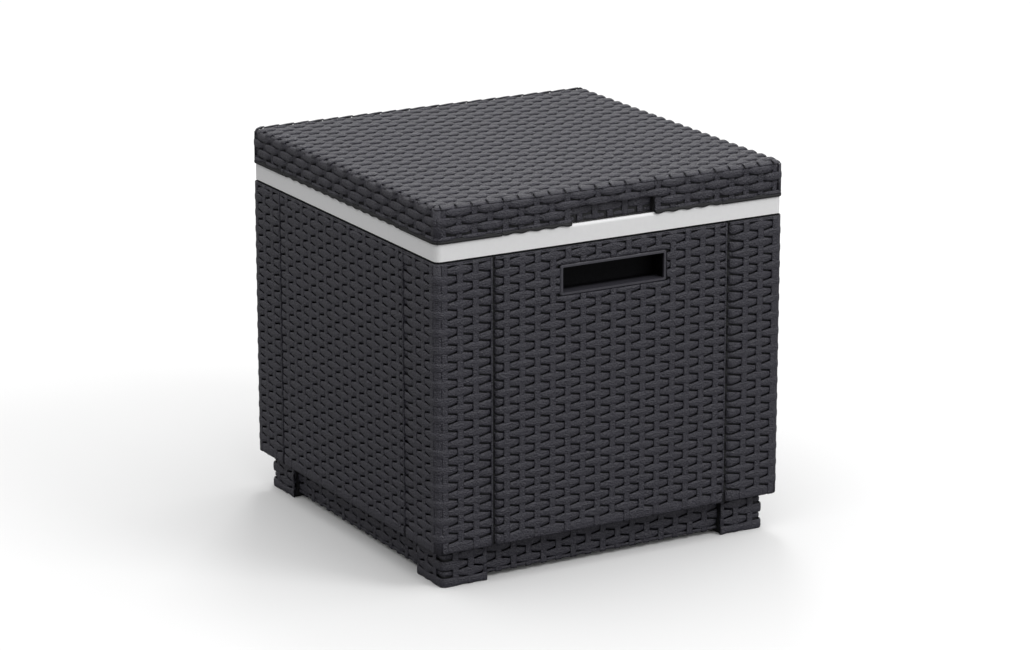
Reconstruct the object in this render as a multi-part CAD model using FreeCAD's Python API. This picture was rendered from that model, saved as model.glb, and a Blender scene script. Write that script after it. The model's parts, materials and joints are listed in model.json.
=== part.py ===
import FreeCAD, Part
import math
import os

# Cube-shaped insulated cooler with woven-look walls, whose flat lid serves as a side table.
# Millimetres, +Z up, origin on the floor under the middle, front face towards -Y.

# Outer form
SIDE = 420.0             # width and depth of the walls and of the lid
CORNER_R = 9.0           # upright corners of walls and lid
PLINTH_H = 41.0          # floor to the underside of the walls
WALL_H = 309.0           # height of the walls
REVEAL = 2.0             # shadow line between the walls and the rim band
RIM_H = 18.0             # height of the white rim band
LID_H = 40.0             # rim band to table top
RIM_INSET = 2.0          # rim band behind the faces of walls and lid
WALL_T = 5.0             # moulded wall of the dark pieces, weave relief included
TUB_T = 3.0              # moulded wall of the white pieces
LID_EDGE_R = 7.0         # rounded edge of the table top
WALL_BEVEL = 2.0         # lower edge of the walls
LID_BEVEL = 2.0          # lower edge of the lid
RIM_BEVEL = 1.2          # upper edge of the rim band

# Woven look: upright strands stand out of the walls and run on across the table top
STAKE_PITCH = 18.125
VALLEY_W = 4.4           # between two strands
VALLEY_D = 2.2

# Upright joints between the corner posts and the wall panels
JOINT_EDGE = 68.5        # corner of the body to the middle of the nearer joint
JOINT_W = 4.5            # dark line that shows
JOINT_D = 3.0
JOINT_FIT = 0.3          # room between post and panel behind the line
LIP_W = 12.0             # post's lip behind the edge of a panel
LIP_T = 2.5
LIP_ROOT = 8.0           # where the lip joins the post

# Inward flanges of posts and panels
FLANGE_T = 3.5
TOP_FLANGE_W = 25.0      # outer face to the inner edge of the top flange
LOW_FLANGE_W = 38.0      # outer face to the inner edge of the bottom flange

# Tub and the rim frame that carries it
RIM_W = 34.0             # outer face of the walls to the tub's mouth
TUB_LIP_W = 14.0         # tub's mouth to the outer edge of its lip
TUB_LIP_FIT = 0.3        # room round the tub and its lip in the frame
TUB_TAPER = 6.0          # how far each tub wall leans in from mouth to floor
TUB_R = 24.0             # upright corners of the tub
TUB_BEVEL = 7.0          # slope between walls and floor
SUMP_R = 32.0            # round recess in the middle of the floor
SUMP_D = 10.0

# Insulation
BASE_FOAM_T = 14.0
FOAM_FIT = 0.5           # room round a foam slab
FOAM_CORNER = 10.0       # side slabs stop this far short of the tub's corners
FOAM_HEADROOM = 8.0      # slab top to the top flange, for the screw heads
CUT_OUT_ROOM = 2.0       # room round what passes through foam

# Grips, one in the front wall and one in the rear wall
GRIP_W = 128.0           # frame, outside
GRIP_H = 33.0
GRIP_DROP = 19.0         # top of the walls to the top of the frame
GRIP_BORDER = 3.0        # frame edge to the finger opening
GRIP_FRAME_T = 3.0
GRIP_CUT = 1.8           # cut corners of frame and cup
GRIP_BEVEL = 1.0         # outer edge of the frame
GRIP_D = 24.0            # wall face to the back of the finger space
GRIP_T = 1.6             # wall of the cup
GRIP_FIT = 0.2           # room round frame and cup in the wall
CLIP_W = 12.0            # snap clips behind the wall
CLIP_L = 7.0
CLIP_RISE = 1.8
CLIP_X = 38.0            # middle of the grip to each clip

# Plinth
PLINTH_INSET = 12.0      # feet behind the walls
FOOT_PROUD = 6.0         # feet in front of the skirt between them
SKIRT_LIFT = 5.0         # floor to the skirt's lower edge
PLINTH_R = 6.0           # upright corners of the plinth
PLINTH_T = 4.0           # walls of skirt and feet
PLATE_T = 3.0            # plinth plate under the tub
FOOT_TOP_T = 3.0         # top of a foot under the plate
FOOT_FIT = 0.2           # room between a foot and the plinth
FOOT_CHAMFER = 2.5       # bevel along each foot's inner lower edges
RIB_T = 2.5
RIB_H = 10.0
RIB_COUNT = 4            # ribs each way under the plate

# Floor drain
DRAIN_SIDES = 24         # round drain parts have few faces
DRAIN_FLANGE_R = 23.0
DRAIN_FLANGE_T = 2.5
DRAIN_R = 12.0           # outside of the drain tube
DRAIN_BORE_R = 8.5
DRAIN_LENGTH = 24.0      # tube below its flange
WASHER_T = 1.5
WASHER_W = 9.0           # breadth of the washer's ring
NUT_R = 19.0
NUT_H = 6.0
DRAIN_FIT = 0.2          # room round the drain tube
NUT_ROOM = 3.0           # room round the nut in the plinth plate
COLLAR_T = 3.0           # collar round the drain hole in the plinth

# Drain plug
PLUG_HEAD_R = 15.0
PLUG_HEAD_T = 3.0
PLUG_STEM_L = 13.0
PLUG_FIT = 0.3           # room round the stem in the bore
PLUG_POINT = 2.0         # bevel at the stem's lower end
PULL_W = 24.0            # finger bar on the plug
PULL_T = 5.0
PULL_H = 6.0
PULL_CUT = 1.5

# Lid
LID_REST = 0.3           # lower edge of the lid above the rim, the lid sits on its seal
SEAL_T = 3.0
SEAL_W = 8.0
SEAL_SETBACK = 2.0       # tub mouth to the seal
PLUG_IN = 13.0           # how far the lid's liner reaches into the tub
PLUG_GAP = 2.0           # liner to tub mouth
PLUG_BEVEL = 2.0         # bevel round the liner's lower edge
LINER_FIT = 0.5          # liner inside the lid's sides
NOTCH_W = 100.0          # finger notches in the lid's front and rear edges
NOTCH_H = 19.5
NOTCH_D = 10.0
NOTCH_T = 3.0            # wall round a notch
NOTCH_CUT = 1.5

# Screws
SCREW_SIDES = 8          # shanks, holes and bosses have few faces, as they repeat
SCREW_R = 2.0
SCREW_FIT = 0.1          # room round a screw in its boss
SCREW_CLEAR = 0.4        # room round a screw in a flange or plate
HEX_SIDES = 6            # screw heads and drain nut
HEAD_R = 4.0             # to the corners of a head
HEAD_H = 2.4
BOSS_R = 4.6
LOW_BOSS_H = 10.0
RIM_SCREW_EDGE = 17.0    # walls' face to the screws under the rim
RIM_SCREW_L = 15.0
BASE_SCREW_EDGE = 30.0   # walls' face to the screws of the plinth
BASE_SCREW_L = 14.0
LID_SCREW_EDGE = 18.0    # lid's face to the screws of the liner
LID_SCREW_L = 15.0
HOLE_SPARE = 2.0         # blind holes run on past the screw
PAST = 1.0               # cutters run on past the face they open

# Levels and half widths that follow
V = FreeCAD.Vector
HALF = SIDE / 2
INSIDE = HALF - WALL_T
WALL_Z0 = PLINTH_H
WALL_Z1 = WALL_Z0 + WALL_H
RIM_Z0 = WALL_Z1 + REVEAL
RIM_Z1 = RIM_Z0 + RIM_H
TOP_Z = RIM_Z1 + LID_H
LID_Z0 = RIM_Z1 + LID_REST
LID_CEILING = TOP_Z - WALL_T
RIM_R = CORNER_R - RIM_INSET

JOINT_X = HALF - JOINT_EDGE
TUB_MOUTH = HALF - RIM_W
TUB_FLOOR = TUB_MOUTH - TUB_TAPER
TUB_UNDER = PLINTH_H + BASE_FOAM_T
FLOOR_Z = TUB_UNDER + TUB_T
SUMP_Z = FLOOR_Z - SUMP_D
SUMP_UNDER = SUMP_Z - TUB_T

FOOT_FACE = HALF - PLINTH_INSET
FOOT_INNER = JOINT_X + JOINT_W / 2
SKIRT_FACE = FOOT_FACE - FOOT_PROUD
PLATE_Z = PLINTH_H - PLATE_T

GRIP_Z = WALL_Z1 - GRIP_DROP - GRIP_H / 2
HOLD_W = GRIP_W - 2 * GRIP_BORDER
HOLD_H = GRIP_H - 2 * GRIP_BORDER
CUP_W = HOLD_W + 2 * GRIP_T
CUP_H = HOLD_H + 2 * GRIP_T

DRAIN_SEAT = SUMP_Z + WASHER_T
DRAIN_TOP = DRAIN_SEAT + DRAIN_FLANGE_T
LINER_Z0 = RIM_Z1 + SEAL_T
LINER_Z1 = LINER_Z0 + TUB_T
PLUG_Z0 = RIM_Z1 - PLUG_IN
PLUG_HALF = TUB_MOUTH - PLUG_GAP


def rounded_square(half, radius, z):
    """Closed outline with round corners, centred on the upright axis."""
    mid = half - radius
    arcs = []
    for turn, (cx, cy) in enumerate([(mid, -mid), (mid, mid), (-mid, mid), (-mid, -mid)]):
        circle = Part.Circle(V(cx, cy, z), V(0, 0, 1), radius)
        arcs.append(Part.ArcOfCircle(circle, math.radians(90 * turn - 90), math.radians(90 * turn)))
    edges = []
    for arc, following in zip(arcs, arcs[1:] + arcs[:1]):
        edges.append(arc.toShape())
        edges.append(Part.LineSegment(arc.EndPoint, following.StartPoint).toShape())
    return Part.Wire(edges)


def square(half, radius, z0, z1):
    """Upright square prism with round corners, given by its half width."""
    return Part.Face(rounded_square(half, radius, z0)).extrude(V(0, 0, z1 - z0))


def plain_square(half, z0, z1):
    """Upright square prism with sharp corners, for spaces and seats that stay hidden."""
    return box_between((-half, -half, z0), (half, half, z1))


def front_prism(width, height, cut, y0, y1, z_mid):
    """Prism with cut corners that runs straight back from y0 to y1."""
    x = width / 2
    z = height / 2
    quarter = [(x, z - cut), (x - cut, z)]
    left = [(-px, pz) for px, pz in reversed(quarter)]
    lower = [(px, -pz) for px, pz in reversed(quarter + left)]
    corners = [V(px, y0, z_mid + pz) for px, pz in quarter + left + lower]
    return Part.Face(Part.makePolygon(corners + corners[:1])).extrude(V(0, y1 - y0, 0))


def tapered(half0, z0, half1, z1, radius):
    """Square solid whose walls lean from one level to another, with round corners."""
    solid = Part.makeWedge(-half0, z0, -half0, -half1, -half1, half0, z1, half0, half1, half1)
    solid.rotate(V(0, 0, 0), V(1, 0, 0), 90)
    leaning = [edge for edge in solid.Edges if edge.BoundBox.ZLength > (z1 - z0) / 2]
    return solid.makeFillet(radius, leaning)


def box_between(low, high):
    """Box given by its lowest and highest corners."""
    return Part.makeBox(high[0] - low[0], high[1] - low[1], high[2] - low[2], V(*low))


def extruded_profile(points, x0, x1):
    """Straight-sided profile of (y, z) points carried along X."""
    corners = [V(x0, y, z) for y, z in points]
    face = Part.Face(Part.makePolygon(corners + corners[:1]))
    return face.extrude(V(x1 - x0, 0, 0))


def turned(shape, steps):
    """Copies of a shape at equal turns about the upright axis."""
    copies = []
    for step in range(steps):
        copy = shape.copy()
        copy.rotate(V(0, 0, 0), V(0, 0, 1), 360 * step / steps)
        copies.append(copy)
    return copies


def polygon_prism(sides, radius, z0, z1):
    """Upright prism on a regular polygon, given by the radius to its corners."""
    corners = []
    for index in range(sides + 1):
        angle = 2 * math.pi * index / sides
        corners.append(V(radius * math.cos(angle), radius * math.sin(angle), z0))
    return Part.Face(Part.makePolygon(corners)).extrude(V(0, 0, z1 - z0))


def disc(radius, z0, z1):
    """Round drain part or hole."""
    return polygon_prism(DRAIN_SIDES, radius, z0, z1)


def studs(places, radius, z0, z1):
    """Prisms at the given places, for screw bosses and screw holes."""
    group = []
    for x, y in places:
        stud = polygon_prism(SCREW_SIDES, radius, z0, z1)
        stud.translate(V(x, y, 0))
        group.append(stud)
    return group


def level_edges(shape, z, reach):
    """Edges at one height that lie on the outline at that distance from the middle."""
    edges = []
    for edge in shape.Edges:
        box = edge.BoundBox
        flat = abs(box.ZMin - z) < 0.01 and abs(box.ZMax - z) < 0.01
        far = max(abs(box.XMin), abs(box.XMax), abs(box.YMin), abs(box.YMax))
        if flat and abs(far - reach) < 0.01:
            edges.append(edge)
    return edges


def bevel_level(shape, z, reach, size):
    """The shape with its outline at one height bevelled."""
    return shape.makeChamfer(size, level_edges(shape, z, reach))


def ring_places(edge):
    """Four corners and four mid-sides, set in from the walls' faces."""
    reach = HALF - edge
    steps = (-reach, 0.0, reach)
    return [(x, y) for x in steps for y in steps if x or y]


def lid_places():
    """The four corners, set in from the lid's faces."""
    return [(x, y) for x, y in ring_places(LID_SCREW_EDGE) if x and y]


def tub_reach(z):
    """Half width of the tub's outside at a height."""
    share = (z - FLOOR_Z) / (RIM_Z1 - FLOOR_Z)
    return TUB_FLOOR + share * TUB_TAPER + TUB_T


def front_valleys(reach, z0, z1):
    """Cutters for the valleys of the front face, out to a distance from its middle."""
    count = int((reach - VALLEY_W / 2) / STAKE_PITCH + 0.5)
    mouth = VALLEY_W / 2 * (1 + PAST / VALLEY_D)
    cutters = []
    for index in range(-count, count):
        x = (index + 0.5) * STAKE_PITCH
        corners = [V(x - mouth, -HALF - PAST, z0), V(x, -HALF + VALLEY_D, z0), V(x + mouth, -HALF - PAST, z0)]
        cutters.append(Part.Face(Part.makePolygon(corners + corners[:1])).extrude(V(0, 0, z1 - z0)))
    return cutters


def wall_valleys():
    """Cutters for the valleys of all four walls."""
    cutters = []
    for valley in front_valleys(HALF - CORNER_R, WALL_Z0 - PAST, WALL_Z1 + PAST):
        cutters += turned(valley, 4)
    return cutters


def table_valleys():
    """Cutters for the valleys of the table top, which end at its rounded edges."""
    reach = HALF - LID_EDGE_R
    cutters = front_valleys(reach, -reach, reach)
    for valley in cutters:
        valley.rotate(V(0, 0, 0), V(1, 0, 0), -90)
        valley.translate(V(0, 0, TOP_Z - HALF))
    return cutters


def wall_ring():
    """All four walls in one ring, with flanges, joint lines, grip openings and screw bosses."""
    ring = square(HALF, CORNER_R, WALL_Z0, WALL_Z1)
    ring = bevel_level(ring, WALL_Z0, HALF, WALL_BEVEL)
    room = plain_square(INSIDE, WALL_Z0 + FLANGE_T, WALL_Z1 - FLANGE_T)
    mouth = plain_square(HALF - TOP_FLANGE_W, WALL_Z1 - FLANGE_T, WALL_Z1 + PAST)
    opening = plain_square(HALF - LOW_FLANGE_W, WALL_Z0 - PAST, WALL_Z0 + FLANGE_T)
    ring = ring.cut([room, mouth, opening])

    low_places = ring_places(BASE_SCREW_EDGE)
    boss_z = WALL_Z0 + FLANGE_T
    ring = ring.fuse(studs(low_places, BOSS_R, boss_z, boss_z + LOW_BOSS_H))
    low_holes = studs(low_places, SCREW_R + SCREW_FIT, WALL_Z0, boss_z + LOW_BOSS_H)
    top_holes = studs(ring_places(RIM_SCREW_EDGE), SCREW_R + SCREW_CLEAR, WALL_Z1 - FLANGE_T, WALL_Z1)

    lines = []
    for x in (-JOINT_X, JOINT_X):
        low = (x - JOINT_W / 2, -HALF - PAST, WALL_Z0 - PAST)
        high = (x + JOINT_W / 2, -HALF + JOINT_D, WALL_Z1 + PAST)
        lines += turned(box_between(low, high), 4)

    rebate = front_prism(GRIP_W + 2 * GRIP_FIT, GRIP_H + 2 * GRIP_FIT, GRIP_CUT,
                         -HALF - PAST, -HALF + GRIP_FRAME_T, GRIP_Z)
    hole = front_prism(CUP_W + 2 * GRIP_FIT, CUP_H + 2 * GRIP_FIT, GRIP_CUT,
                       -HALF, -INSIDE + PAST, GRIP_Z)
    ring = ring.cut(low_holes + top_holes + lines + turned(rebate, 2) + turned(hole, 2))
    return ring.cut(wall_valleys())


def corner_post(ring):
    """Front left corner of the wall ring, with a lip behind each neighbouring panel."""
    beyond = HALF + PAST
    near = JOINT_X + JOINT_FIT / 2
    post = ring.common(box_between((-beyond, -beyond, WALL_Z0), (-near, -near, WALL_Z1)))
    back = -INSIDE
    outline = [
        (-near - LIP_ROOT, back),
        (-near, back),
        (-near, back + JOINT_FIT),
        (-near + LIP_W, back + JOINT_FIT),
        (-near + LIP_W, back + JOINT_FIT + LIP_T),
        (-near - LIP_ROOT, back + JOINT_FIT + LIP_T),
    ]
    z0 = WALL_Z0 + FLANGE_T + JOINT_FIT
    z1 = WALL_Z1 - FLANGE_T - JOINT_FIT
    corners = [V(x, y, z0) for x, y in outline]
    front_lip = Part.Face(Part.makePolygon(corners + corners[:1])).extrude(V(0, 0, z1 - z0))
    side_lip = front_lip.mirror(V(0, 0, 0), V(1, -1, 0))
    return post.fuse([front_lip, side_lip])


def wall_panel(ring):
    """Front stretch of the wall ring between two corner posts."""
    beyond = HALF + PAST
    far = JOINT_X - JOINT_FIT / 2
    return ring.common(box_between((-far, -beyond, WALL_Z0), (far, -HALF + LOW_FLANGE_W + PAST, WALL_Z1)))


def base_plinth():
    """Plate on a skirt that runs between the feet, ribbed underneath, with a hole for the drain."""
    plate = plain_square(SKIRT_FACE, PLATE_Z, PLINTH_H)
    reach = SKIRT_FACE - PLINTH_T
    span = FOOT_INNER - FOOT_FIT
    skirt = box_between((-span, -SKIRT_FACE, SKIRT_LIFT), (span, -reach, PLATE_Z))

    pitch = 2 * FOOT_INNER / RIB_COUNT
    ribs = []
    for index in range(RIB_COUNT):
        x = (index - (RIB_COUNT - 1) / 2) * pitch
        rib = box_between((x - RIB_T / 2, -reach, PLATE_Z - RIB_H), (x + RIB_T / 2, reach, PLATE_Z))
        ribs += turned(rib, 4)[:2]
    drain_r = NUT_R + NUT_ROOM
    collar = disc(drain_r + COLLAR_T, PLATE_Z - RIB_H, PLATE_Z)

    base = plate.fuse(turned(skirt, 4) + ribs + [collar])
    drain_hole = disc(drain_r, 0, PLINTH_H + PAST)
    holes = studs(ring_places(BASE_SCREW_EDGE), SCREW_R + SCREW_CLEAR, PLATE_Z, PLINTH_H)
    return base.cut([drain_hole] + holes).removeSplitter()


def foot():
    """Front left foot: hollow block with crossed ribs, stepped to take the plate's corner."""
    beyond = FOOT_FACE + PAST
    corner = box_between((-beyond, -beyond, 0), (-FOOT_INNER, -FOOT_INNER, PLINTH_H))
    block = square(FOOT_FACE, PLINTH_R, 0, PLINTH_H).common(corner)
    inner = []
    for edge in block.Edges:
        box = edge.BoundBox
        if box.ZMax < 0.01 and max(box.XMin, box.YMin) > -FOOT_INNER - 0.01:
            inner.append(edge)
    block = block.makeChamfer(FOOT_CHAMFER, inner)

    step = plain_square(SKIRT_FACE + FOOT_FIT, PLATE_Z, PLINTH_H + PAST)
    near = -FOOT_INNER - PLINTH_T
    far = -FOOT_FACE + PLINTH_T
    middle = (near + far) / 2
    ceiling = PLATE_Z - FOOT_TOP_T
    spans = [(far, middle - RIB_T / 2), (middle + RIB_T / 2, near)]
    cells = [box_between((x0, y0, -PAST), (x1, y1, ceiling)) for x0, x1 in spans for y0, y1 in spans]
    corner_screw = ring_places(BASE_SCREW_EDGE)[:1]
    hole = studs(corner_screw, SCREW_R + SCREW_CLEAR, ceiling, PLATE_Z)
    return block.cut([step] + cells + hole)


def rim_frame():
    """White frame under the lid: a band outside, a ledge inside for the tub's lip, bosses below."""
    outer = HALF - RIM_INSET
    under = RIM_Z1 - TUB_T
    frame = square(outer, RIM_R, RIM_Z0, RIM_Z1)
    frame = bevel_level(frame, RIM_Z1, outer, RIM_BEVEL)
    frame = frame.cut(plain_square(outer - TUB_T, RIM_Z0 - PAST, under))

    lip = TUB_MOUTH + TUB_LIP_W + TUB_LIP_FIT
    lip_r = TUB_R + TUB_LIP_W + TUB_LIP_FIT
    ledge = plain_square(lip + TUB_T, under - TUB_T, under)
    places = ring_places(RIM_SCREW_EDGE)
    frame = frame.fuse([ledge] + studs(places, BOSS_R, WALL_Z1, under))

    rebate = square(lip, lip_r, under, RIM_Z1 + PAST)
    room = square(tub_reach(RIM_Z1) + TUB_LIP_FIT, TUB_R + TUB_T + TUB_LIP_FIT, RIM_Z0, RIM_Z1)
    hole_top = WALL_Z1 + RIM_SCREW_L - FLANGE_T + HOLE_SPARE
    pilots = studs(places, SCREW_R + SCREW_FIT, WALL_Z1, hole_top)
    return frame.cut([rebate, room] + pilots).removeSplitter()


def inner_tub():
    """White tub with leaning walls, a drain sump and a lip that hangs in the rim frame."""
    tub = tapered(tub_reach(TUB_UNDER), TUB_UNDER, tub_reach(RIM_Z1), RIM_Z1, TUB_R + TUB_T)
    tub = bevel_level(tub, TUB_UNDER, tub_reach(TUB_UNDER), TUB_BEVEL)
    sump = Part.makeCylinder(SUMP_R + TUB_T, FLOOR_Z - SUMP_UNDER, V(0, 0, SUMP_UNDER))
    lip = square(TUB_MOUTH + TUB_LIP_W, TUB_R + TUB_LIP_W, RIM_Z1 - TUB_T, RIM_Z1)
    tub = tub.fuse([sump, lip])

    room = tapered(TUB_FLOOR, FLOOR_Z, TUB_MOUTH, RIM_Z1, TUB_R)
    room = bevel_level(room, FLOOR_Z, TUB_FLOOR, TUB_BEVEL)
    mouth = square(TUB_MOUTH, TUB_R, RIM_Z1, RIM_Z1 + PAST)
    recess = Part.makeCylinder(SUMP_R, SUMP_D + PAST, V(0, 0, SUMP_Z))
    drain = Part.makeCylinder(DRAIN_R + DRAIN_FIT, SUMP_D, V(0, 0, SUMP_UNDER - PAST))
    return tub.cut([room, mouth, recess, drain]).removeSplitter()


def grip():
    """Front finger cup: beaded frame in the wall's rebate, cup behind it, four snap clips."""
    frame = front_prism(GRIP_W, GRIP_H, GRIP_CUT, -HALF, -HALF + GRIP_FRAME_T, GRIP_Z)
    front = [edge for edge in frame.Edges if edge.BoundBox.YMax < -HALF + 0.01]
    frame = frame.makeChamfer(GRIP_BEVEL, front)
    cup = front_prism(CUP_W, CUP_H, GRIP_CUT, -HALF + GRIP_FRAME_T, -HALF + GRIP_D + GRIP_T, GRIP_Z)
    hold = front_prism(HOLD_W, HOLD_H, GRIP_CUT / 2, -HALF - PAST, -HALF + GRIP_D, GRIP_Z)

    catch = -INSIDE + GRIP_FIT
    side = GRIP_Z + CUP_H / 2
    inner = side - GRIP_T
    barb = [(catch, inner), (catch, side + CLIP_RISE), (catch + CLIP_L, side), (catch + CLIP_L, inner)]
    clips = []
    for x in (-CLIP_X, CLIP_X):
        clip = extruded_profile(barb, x - CLIP_W / 2, x + CLIP_W / 2)
        clips += [clip, clip.mirror(V(0, 0, GRIP_Z), V(0, 0, 1))]
    return frame.fuse([cup] + clips).cut(hold)


def side_foam(with_grip):
    """Front insulation slab that fills the space between wall and tub."""
    z0 = WALL_Z0 + FLANGE_T
    z1 = WALL_Z1 - FLANGE_T - FOAM_HEADROOM
    outer = -(INSIDE - JOINT_FIT - LIP_T - FOAM_FIT)
    profile = [(outer, z0), (-tub_reach(z0) - FOAM_FIT, z0), (-tub_reach(z1) - FOAM_FIT, z1), (outer, z1)]
    reach = tub_reach(TUB_UNDER) - FOAM_CORNER
    slab = extruded_profile(profile, -reach, reach)
    boss_y = -(HALF - BASE_SCREW_EDGE)
    cuts = studs([(0, boss_y)], BOSS_R + CUT_OUT_ROOM, z0, z0 + LOW_BOSS_H + CUT_OUT_ROOM)
    if with_grip:
        width = CUP_W + 2 * CUT_OUT_ROOM
        height = CUP_H + 2 * (CUT_OUT_ROOM + CLIP_RISE)
        cuts.append(front_prism(width, height, GRIP_CUT, -HALF, -HALF + RIM_W, GRIP_Z))
    return slab.cut(cuts)


def base_foam():
    """Insulation plate between plinth and tub floor, open round the drain."""
    plate = plain_square(HALF - LOW_FLANGE_W - FOAM_FIT, PLINTH_H, TUB_UNDER)
    return plate.cut(disc(SUMP_R + TUB_T + CUT_OUT_ROOM, PLINTH_H, TUB_UNDER))


def drain_body():
    """Flanged drain tube."""
    low = DRAIN_SEAT - DRAIN_LENGTH
    tube = disc(DRAIN_R, low, DRAIN_SEAT).fuse(disc(DRAIN_FLANGE_R, DRAIN_SEAT, DRAIN_TOP))
    return tube.cut(disc(DRAIN_BORE_R, low, DRAIN_TOP))


def drain_seal():
    """Flat washer under the drain's flange."""
    inner = DRAIN_R + DRAIN_FIT
    return disc(inner + WASHER_W, SUMP_Z, DRAIN_SEAT).cut(disc(inner, SUMP_Z, DRAIN_SEAT))


def drain_nut():
    """Six-sided nut that clamps the drain from below."""
    low = SUMP_UNDER - NUT_H
    nut = polygon_prism(HEX_SIDES, NUT_R, low, SUMP_UNDER)
    return nut.cut(disc(DRAIN_R + DRAIN_FIT, low, SUMP_UNDER))


def drain_plug():
    """Bung with a pointed stem and a finger bar on top."""
    stem_r = DRAIN_BORE_R - PLUG_FIT
    low = DRAIN_TOP - PLUG_STEM_L
    stem = disc(stem_r, low, DRAIN_TOP)
    stem = stem.makeChamfer(PLUG_POINT, [edge for edge in stem.Edges if edge.BoundBox.ZMax < low + 0.01])
    head = disc(PLUG_HEAD_R, DRAIN_TOP, DRAIN_TOP + PLUG_HEAD_T)
    bar_h = PULL_H + PLUG_HEAD_T
    bar = front_prism(PULL_W, bar_h, PULL_CUT, -PULL_T / 2, PULL_T / 2, DRAIN_TOP + bar_h / 2)
    return stem.fuse([head, bar])


def lid_shell():
    """Lid tray with a flat top, turned-down sides and two finger notches."""
    shell = square(HALF, CORNER_R, LID_Z0, TOP_Z)
    shell = shell.makeFillet(LID_EDGE_R, level_edges(shell, TOP_Z, HALF))
    shell = bevel_level(shell, LID_Z0, HALF, LID_BEVEL)
    shell = shell.cut(plain_square(INSIDE, LID_Z0 - PAST, LID_CEILING))

    notch_top = RIM_Z1 + NOTCH_H
    pocket_top = notch_top + NOTCH_T
    pocket = box_between((-NOTCH_W / 2 - NOTCH_T, -INSIDE - PAST, LID_Z0),
                         (NOTCH_W / 2 + NOTCH_T, -HALF + NOTCH_D + NOTCH_T, pocket_top))
    finger_room = front_prism(NOTCH_W, 2 * NOTCH_H, NOTCH_CUT, -HALF - PAST, -HALF + NOTCH_D, RIM_Z1)
    places = lid_places()
    bosses = studs(places, BOSS_R, LINER_Z1, LID_CEILING)
    pilots = studs(places, SCREW_R + SCREW_FIT, LINER_Z1, LINER_Z0 + LID_SCREW_L + HOLE_SPARE)
    shell = shell.fuse(turned(pocket, 2) + bosses)
    return shell.cut(turned(finger_room, 2) + pilots + table_valleys())


def lid_liner():
    """White pan under the lid: a flange that closes the lid and a plug that fills the tub's mouth."""
    flange = plain_square(INSIDE - LINER_FIT, LINER_Z0, LINER_Z1)
    plug_r = TUB_R - PLUG_GAP
    plug = square(PLUG_HALF, plug_r, PLUG_Z0, LINER_Z1)
    plug = bevel_level(plug, PLUG_Z0, PLUG_HALF, PLUG_BEVEL)
    pan = square(PLUG_HALF - TUB_T, plug_r - TUB_T, PLUG_Z0 + TUB_T, LINER_Z1 + PAST)
    room_x = NOTCH_W / 2 + NOTCH_T + LINER_FIT
    room_y = NOTCH_D + NOTCH_T + LINER_FIT
    recess = box_between((-room_x, -HALF, LINER_Z0 - PAST), (room_x, -HALF + room_y, LINER_Z1 + PAST))
    holes = studs(lid_places(), SCREW_R + SCREW_CLEAR, LINER_Z0, LINER_Z1)
    return flange.fuse(plug).cut([pan] + turned(recess, 2) + holes)


def lid_foam():
    """Insulation block between the liner's plug and the lid's top."""
    half = PLUG_HALF - TUB_T - FOAM_FIT
    return square(half, TUB_R - PLUG_GAP - TUB_T, PLUG_Z0 + TUB_T, LID_CEILING)


def lid_seal():
    """Square ring seal that carries the lid on the rim."""
    inner = TUB_MOUTH + SEAL_SETBACK
    ring = square(inner + SEAL_W, TUB_R + SEAL_SETBACK + SEAL_W, RIM_Z1, LINER_Z0)
    return ring.cut(square(inner, TUB_R + SEAL_SETBACK, RIM_Z1, LINER_Z0))


def screws(seats, length):
    """Group of screws driven upwards, each with its six-sided head under its (x, y, z) seat."""
    screw = polygon_prism(HEX_SIDES, HEAD_R, -HEAD_H, 0).fuse(polygon_prism(SCREW_SIDES, SCREW_R, 0, length))
    group = []
    for seat in seats:
        copy = screw.copy()
        copy.translate(V(*seat))
        group.append(copy)
    return Part.makeCompound(group)


def base_screw_seats():
    """Corner screws sit under the feet's tops, the others under the plate."""
    seats = []
    for x, y in ring_places(BASE_SCREW_EDGE):
        corner = x and y
        seats.append((x, y, PLATE_Z - FOOT_TOP_T if corner else PLATE_Z))
    return seats


def build():
    """Every piece of the cooler by name, at its place in the assembly."""
    ring = wall_ring()
    quarter_ring = turned(ring, 4)[1]
    panels = turned(wall_panel(ring), 2) + turned(turned(wall_panel(quarter_ring), 4)[1], 2)
    foams = turned(side_foam(True), 2) + turned(turned(side_foam(False), 4)[1], 2)
    rim_seats = [(x, y, WALL_Z1 - FLANGE_T) for x, y in ring_places(RIM_SCREW_EDGE)]
    lid_seats = [(x, y, LINER_Z0) for x, y in lid_places()]
    pieces = {
        "base_plinth": base_plinth(),
        "rim_frame": rim_frame(),
        "inner_tub": inner_tub(),
        "foam_base": base_foam(),
        "tub_screws": screws(rim_seats, RIM_SCREW_L),
        "base_screws": screws(base_screw_seats(), BASE_SCREW_L),
        "drain_body": drain_body(),
        "drain_seal": drain_seal(),
        "drain_nut": drain_nut(),
        "drain_plug": drain_plug(),
        "lid_shell": lid_shell(),
        "lid_liner": lid_liner(),
        "lid_foam": lid_foam(),
        "lid_seal": lid_seal(),
        "lid_screws": screws(lid_seats, LID_SCREW_L),
    }
    corners = ["front_left", "front_right", "rear_right", "rear_left"]
    for name, post, block in zip(corners, turned(corner_post(ring), 4), turned(foot(), 4)):
        pieces["post_" + name] = post
        pieces["foot_" + name] = block
    for name, panel, foam in zip(["front", "rear", "right", "left"], panels, foams):
        pieces["panel_" + name] = panel
        pieces["foam_" + name] = foam
    for name, cup in zip(["front_grip", "rear_grip"], turned(grip(), 2)):
        pieces[name] = cup
    return pieces


os.makedirs("parts", exist_ok=True)
for name, shape in build().items():
    shape.exportStep("parts/" + name + ".step")
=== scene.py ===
from collections import namedtuple
import json
import math

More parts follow.
